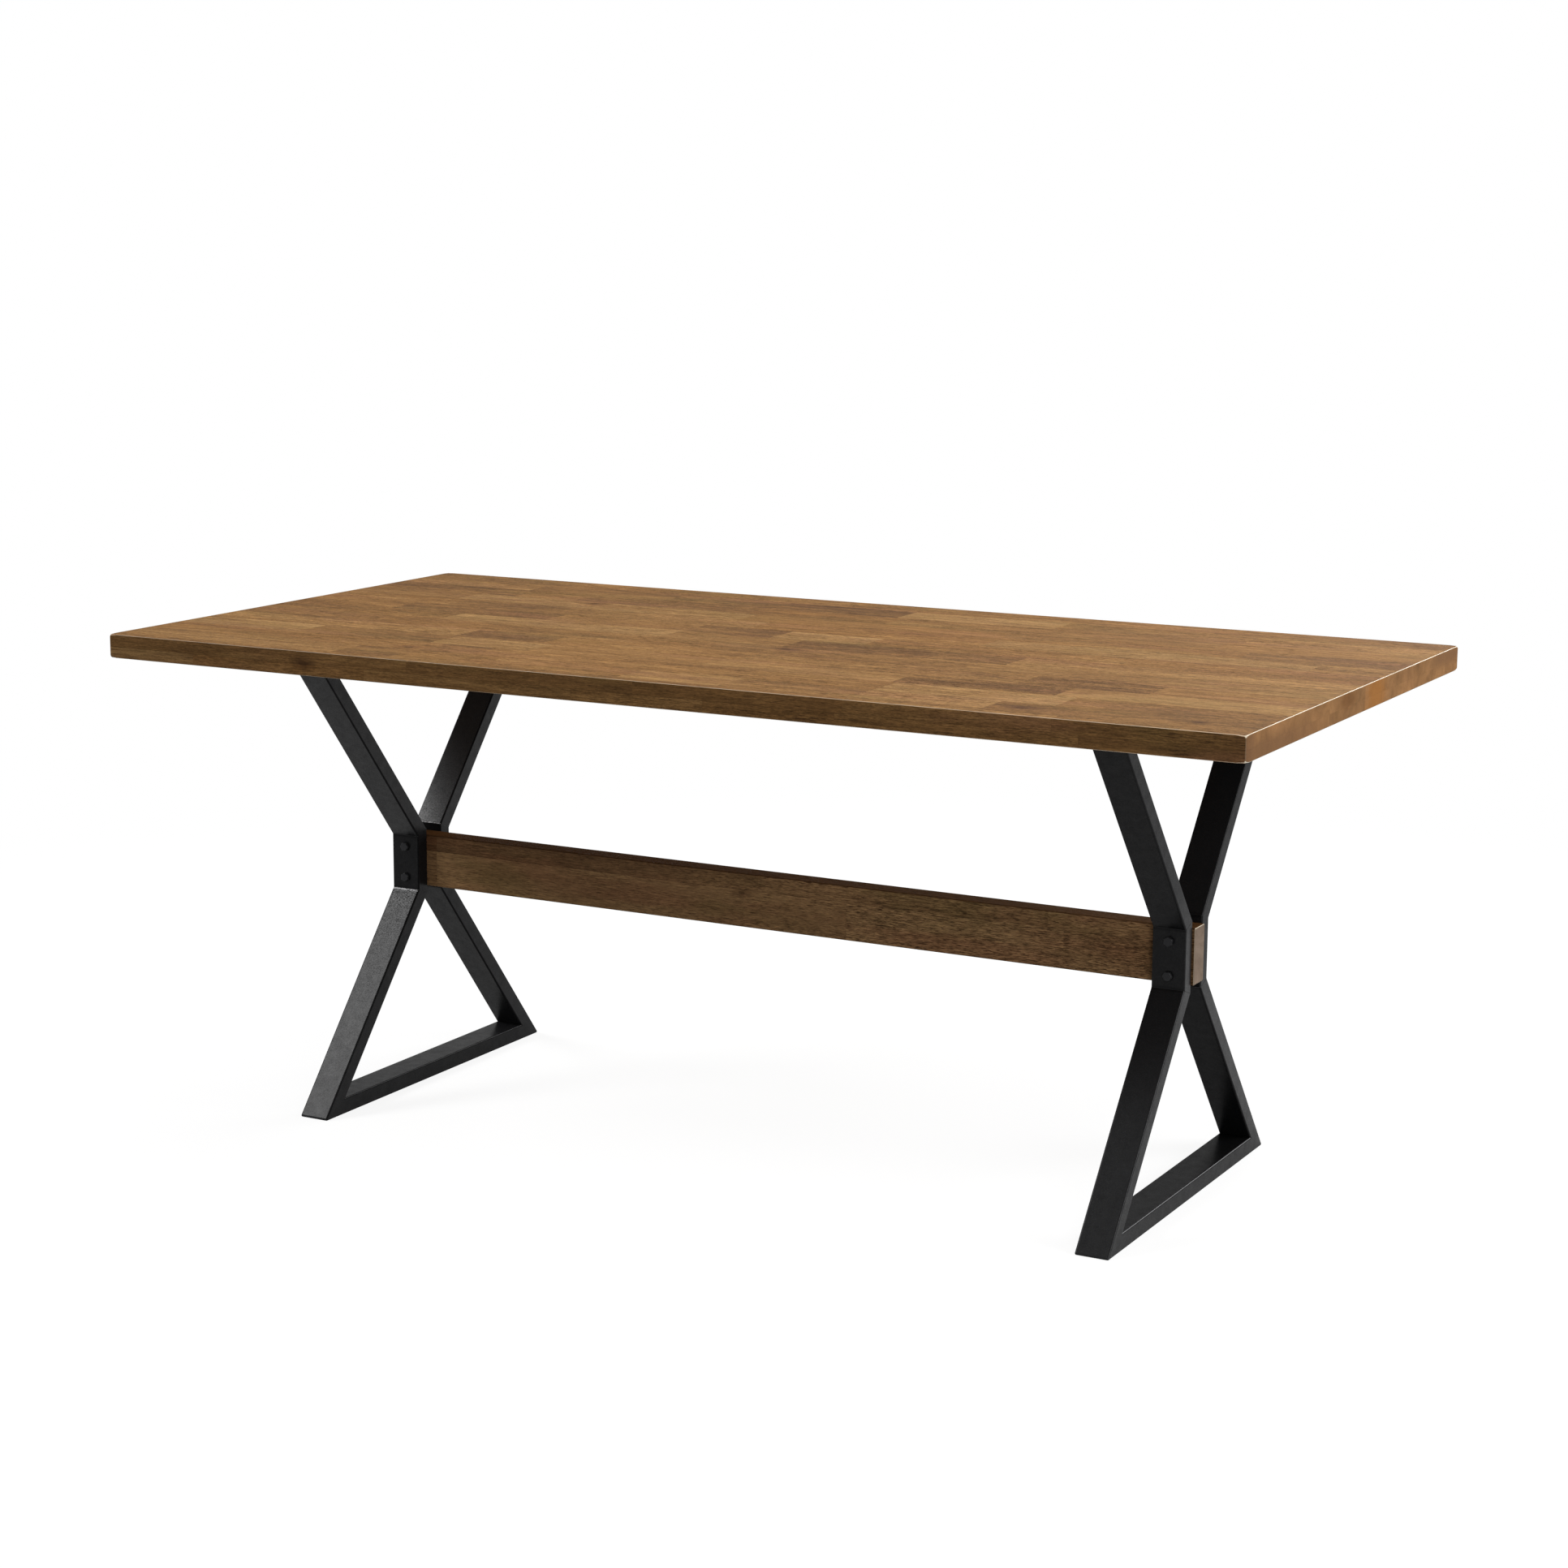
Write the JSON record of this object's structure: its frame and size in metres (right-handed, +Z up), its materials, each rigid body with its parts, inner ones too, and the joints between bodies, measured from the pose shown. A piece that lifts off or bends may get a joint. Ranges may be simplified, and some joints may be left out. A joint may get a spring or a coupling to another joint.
{
  "type": "sawbuck dining table",
  "caption": "Rectangular hardwood dining table on black steel X leg frames, joined at the waist by a bolted wooden stretcher beam.",
  "frame": {"origin": "on the floor, under the middle of the table top", "axes": "+X along the table to its right end, +Y to its back, +Z up"},
  "size_m": [1.8, 0.9, 0.76],
  "materials": {
    "top_wood": "satin stained hardwood staves",
    "stretcher_wood": "satin dark stained hardwood, open pores",
    "black_steel": "fine textured black powder coat",
    "black_bolt": "satin black",
    "zinc": "zinc plated"
  },
  "bodies": {
    "root": {"table_top": "top_wood", "stretcher_beam": "stretcher_wood", "left_front_upper_tube": "black_steel", "left_front_waist_tube": "black_steel", "left_front_lower_tube": "black_steel", "left_foot_tube": "black_steel", "left_back_lower_tube": "black_steel", "left_back_waist_tube": "black_steel", "left_back_upper_tube": "black_steel", "left_mounting_plate": "black_steel", "right_front_upper_tube": "black_steel", "right_front_waist_tube": "black_steel", "right_front_lower_tube": "black_steel", "right_foot_tube": "black_steel", "right_back_lower_tube": "black_steel", "right_back_waist_tube": "black_steel", "right_back_upper_tube": "black_steel", "right_mounting_plate": "black_steel", "stretcher_bolts": "black_bolt", "stretcher_washers": "black_bolt", "stretcher_nuts": "black_bolt", "plate_screws": "zinc"}
  },
  "joints": []
}
